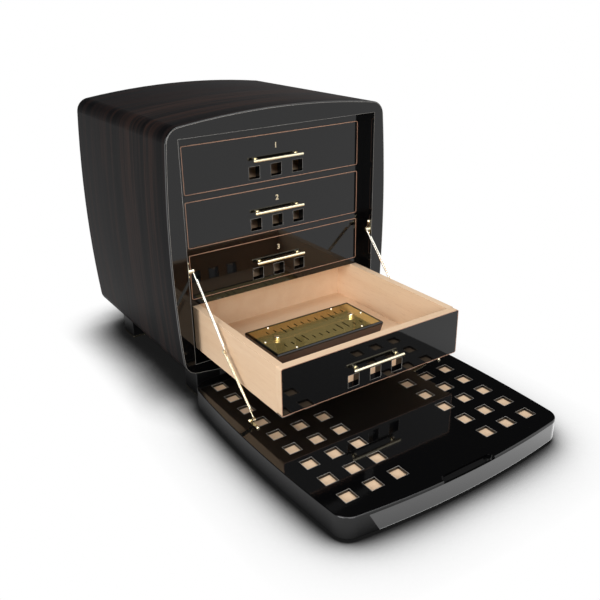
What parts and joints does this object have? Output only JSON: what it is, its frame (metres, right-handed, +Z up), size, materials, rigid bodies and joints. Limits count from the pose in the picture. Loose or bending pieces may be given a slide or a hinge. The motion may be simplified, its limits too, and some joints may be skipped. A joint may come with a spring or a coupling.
{
  "type": "cigar humidor cabinet",
  "caption": "Bowed desk cigar humidor in ebony veneer and black lacquer, its front let down on folding brass stays, with drawers and a humidifier.",
  "frame": {"origin": "on the floor, midway between the far edge of the lowered door and the back of the case", "axes": "+X to the right seen from the front, +Y towards the back, +Z up"},
  "size_m": [0.374, 0.7268, 0.4093],
  "materials": {
    "ebony_veneer": "satin striped ebony veneer",
    "black_lacquer": "high gloss black lacquer on wood",
    "cedar": "bare planed cedar",
    "brass": "polished pale brass",
    "brown_plastic": "smooth dark brown",
    "black_plastic": "gloss black",
    "wet_pad": "dark absorbent foam"
  },
  "bodies": {
    "cabinet": {"cabinet_bracket_screws": "brass", "cabinet_hinge_leaves": "brass", "face_frame": "black_lacquer", "feet": "black_lacquer", "floor_board": "cedar", "foot_screws": "brass", "foot_soles": "brass", "front_frame": "black_lacquer", "hinge_pins": "brass", "left_cheek": "cedar", "left_stay_bracket": "brass", "outer_shell": "ebony_veneer", "rear_panel": "black_lacquer", "right_cheek": "cedar", "right_stay_bracket": "brass", "shelf_1": "cedar", "shelf_2": "cedar", "shelf_3": "cedar", "stay_cabinet_pins": "brass", "top_board": "cedar"},
    "drawer_1": {"drawer_1_floor": "cedar", "drawer_1_front_board": "cedar", "drawer_1_front_panel": "black_lacquer", "drawer_1_handle": "brass", "drawer_1_walls": "cedar"},
    "drawer_2": {"drawer_2_floor": "cedar", "drawer_2_front_board": "cedar", "drawer_2_front_panel": "black_lacquer", "drawer_2_handle": "brass", "drawer_2_walls": "cedar"},
    "drawer_3": {"drawer_3_floor": "cedar", "drawer_3_front_board": "cedar", "drawer_3_front_panel": "black_lacquer", "drawer_3_handle": "brass", "drawer_3_walls": "cedar"},
    "drawer_4": {"drawer_4_floor": "cedar", "drawer_4_front_board": "cedar", "drawer_4_front_panel": "black_lacquer", "drawer_4_handle": "brass", "drawer_4_walls": "cedar"},
    "humidifier": {"humidifier_base": "brown_plastic", "humidifier_grille": "brass", "humidifier_knobs": "brass", "humidifier_pad": "wet_pad", "humidifier_rim": "black_plastic", "humidifier_screws": "brass"},
    "door": {"door_bracket_screws": "brass", "door_core": "black_lacquer", "door_hinge_leaves": "brass", "door_liner": "cedar", "door_plate": "black_lacquer", "left_door_bracket": "brass", "right_door_bracket": "brass", "stay_door_pins": "brass"},
    "left_upper_arm": {"left_stay_upper_arm": "brass"},
    "left_lower_arm": {"left_stay_lower_arm": "brass"},
    "right_upper_arm": {"right_stay_upper_arm": "brass"},
    "right_lower_arm": {"right_stay_lower_arm": "brass"}
  },
  "joints": [
    {"name": "drawer_1_slide", "type": "slide", "parent": "cabinet", "child": "drawer_1", "axis": [0, -1, 0], "range_m": [0, 0.242]},
    {"name": "drawer_2_slide", "type": "slide", "parent": "cabinet", "child": "drawer_2", "axis": [0, -1, 0], "range_m": [0, 0.242]},
    {"name": "drawer_3_slide", "type": "slide", "parent": "cabinet", "child": "drawer_3", "axis": [0, -1, 0], "range_m": [0, 0.242]},
    {"name": "drawer_4_slide", "type": "slide", "parent": "cabinet", "child": "drawer_4", "axis": [0, 1, 0], "range_m": [-0.0083, 0.2337]},
    {"name": "humidifier_lift", "type": "slide", "parent": "drawer_4", "child": "humidifier", "axis": [0, 0, -1], "range_m": [-0.06, 0]},
    {"name": "door_hinge", "type": "hinge", "parent": "cabinet", "child": "door", "pos_m": [0, 0.0169, 0.029], "axis": [-1, 0, 0], "range_deg": [0, 9.3]},
    {"name": "left_upper_arm_pivot", "type": "hinge", "parent": "cabinet", "child": "left_upper_arm", "pos_m": [-0.1548, 0.0274, 0.199], "axis": [1, 0, 0], "range_deg": [0, 15.4]},
    {"name": "left_lower_arm_pivot", "type": "hinge", "parent": "door", "child": "left_lower_arm", "pos_m": [-0.1568, -0.1301, 0.04], "axis": [-1, 0, 0], "range_deg": [0, 18.7]},
    {"name": "right_upper_arm_pivot", "type": "hinge", "parent": "cabinet", "child": "right_upper_arm", "pos_m": [0.1548, 0.0274, 0.199], "axis": [1, 0, 0], "range_deg": [0, 15.4]},
    {"name": "right_lower_arm_pivot", "type": "hinge", "parent": "door", "child": "right_lower_arm", "pos_m": [0.1568, -0.1301, 0.04], "axis": [-1, 0, 0], "range_deg": [0, 18.7]}
  ],
  "couplings": [
    {"joint": "left_upper_arm_pivot", "follows": "door_hinge", "ratio": 1.6409},
    {"joint": "left_lower_arm_pivot", "follows": "door_hinge", "ratio": 1.9908},
    {"joint": "right_upper_arm_pivot", "follows": "door_hinge", "ratio": 1.6409},
    {"joint": "right_lower_arm_pivot", "follows": "door_hinge", "ratio": 1.9908}
  ]
}
